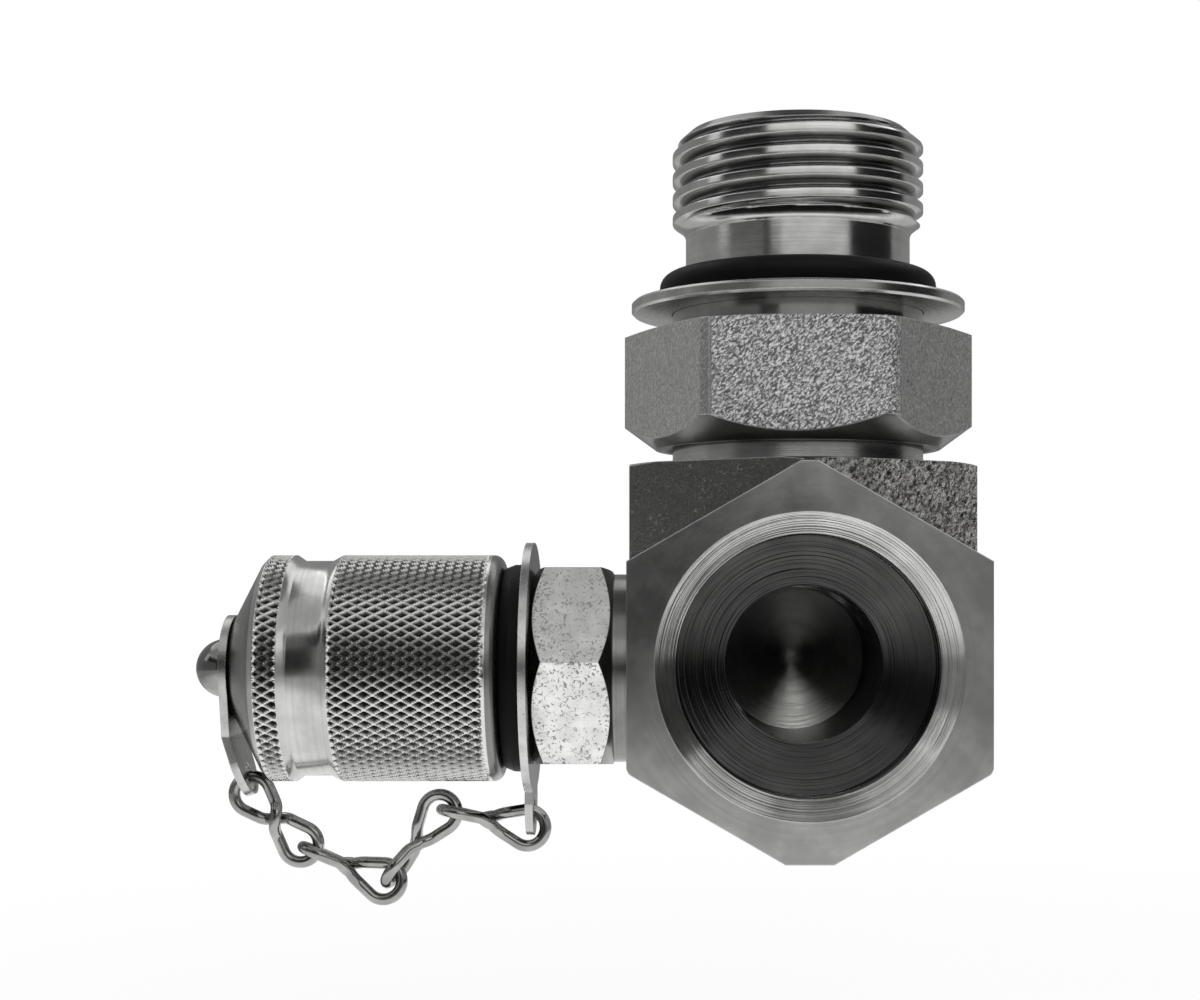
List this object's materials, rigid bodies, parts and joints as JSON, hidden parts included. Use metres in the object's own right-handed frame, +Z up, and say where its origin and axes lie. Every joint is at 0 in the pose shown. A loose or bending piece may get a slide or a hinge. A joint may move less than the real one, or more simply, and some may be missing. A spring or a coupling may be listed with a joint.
{
  "type": "hydraulic adapter",
  "caption": "Right-angle hydraulic adapter: adjustable O-ring stud with lock nut, threaded port, and a side test point under a knurled screw cap tethered by a wire chain.",
  "frame": {"origin": "on the stud's axis, half way along its thread", "axes": "+Z up the stud, out of its tip; the port faces -Y; the test point lies along -X"},
  "size_m": [0.0686, 0.033, 0.0683],
  "materials": {
    "block_steel": "zinc-plated forging, machined faces, rough flats",
    "nut_steel": "zinc-plated, grainy flats and turned chamfers",
    "washer_steel": "zinc-plated, satin",
    "coupling_steel": "zinc-plated, speckled flats",
    "cap_steel": "bright plated, diamond knurl",
    "bright_steel": "bright turned",
    "spring_steel": "drawn wire",
    "tether_steel": "pressed sheet, plated",
    "chain_steel": "bright plated wire",
    "black_rubber": "smooth nitrile"
  },
  "bodies": {
    "root": {"elbow_body": "block_steel", "stud_o_ring": "black_rubber", "test_coupling": "coupling_steel", "coupling_seal": "black_rubber", "spring_retainer": "bright_steel", "valve_spring": "spring_steel", "dust_ring": "black_rubber"},
    "washer": {"backup_washer": "washer_steel"},
    "nut": {"lock_nut": "nut_steel"},
    "valve": {"valve_poppet": "bright_steel", "poppet_seal": "black_rubber"},
    "tether": {"chain_ring": "tether_steel"},
    "strap": {"cap_strap": "tether_steel"},
    "cap": {"cap_shell": "cap_steel", "cap_gasket": "black_rubber", "cap_rivet": "bright_steel"},
    "link_1": {"chain_link_1": "chain_steel"},
    "link_2": {"chain_link_2": "chain_steel"},
    "link_3": {"chain_link_3": "chain_steel"},
    "link_4": {"chain_link_4": "chain_steel"}
  },
  "joints": [
    {"name": "nut_travel", "type": "slide", "parent": "root", "child": "washer", "axis": [0, 0, 1], "range_m": [-0.0015, 0]},
    {"name": "nut_turn", "type": "hinge", "parent": "washer", "child": "nut", "pos_m": [0, 0, -0.02325], "axis": [0, 0, 1], "range_deg": [-299, 1]},
    {"name": "tether_swing", "type": "hinge", "parent": "root", "child": "tether", "pos_m": [-0.02325, 0, -0.04255], "axis": [1, 0, 0], "continuous": true},
    {"name": "cap_travel", "type": "slide", "parent": "tether", "child": "strap", "axis": [-1, 0, 0], "range_m": [0, 0.004]},
    {"name": "cap_turn", "type": "hinge", "parent": "strap", "child": "cap", "pos_m": [-0.04963, 0, -0.04255], "axis": [-1, 0, 0], "range_deg": [-1, 721]},
    {"name": "strap_link", "type": "hinge", "parent": "strap", "child": "link_1", "pos_m": [-0.04883, 0, -0.05222], "axis": [0, -1, 0], "range_deg": [-1, 6]},
    {"name": "link_1_2", "type": "hinge", "parent": "link_1", "child": "link_2", "pos_m": [-0.04383, 0, -0.05842], "axis": [0, -1, 0], "range_deg": [-1, 18.26]},
    {"name": "tab_link", "type": "hinge", "parent": "tether", "child": "link_4", "pos_m": [-0.02362, 0, -0.05515], "axis": [0, -1, 0], "range_deg": [-1, 4]},
    {"name": "link_4_3", "type": "hinge", "parent": "link_4", "child": "link_3", "pos_m": [-0.03153, 0, -0.0551], "axis": [0, -1, 0], "range_deg": [-38.85, 1]},
    {"name": "valve_push", "type": "slide", "parent": "root", "child": "valve", "axis": [1, 0, 0], "range_m": [0, 0.0015], "stiffness_N_per_m": 800, "springref_m": -0.002, "deforming": ["valve_spring"]}
  ],
  "couplings": [
    {"joint": "nut_turn", "follows": "nut_travel", "rad_per_m": 3463.2},
    {"joint": "cap_turn", "follows": "cap_travel", "rad_per_m": 3141.6},
    {"joint": "strap_link", "follows": "cap_travel", "rad_per_m": 21.817},
    {"joint": "link_1_2", "follows": "cap_travel", "rad_per_m": 75.331},
    {"joint": "tab_link", "follows": "cap_travel", "rad_per_m": 13.09},
    {"joint": "link_4_3", "follows": "cap_travel", "rad_per_m": -165.14}
  ]
}
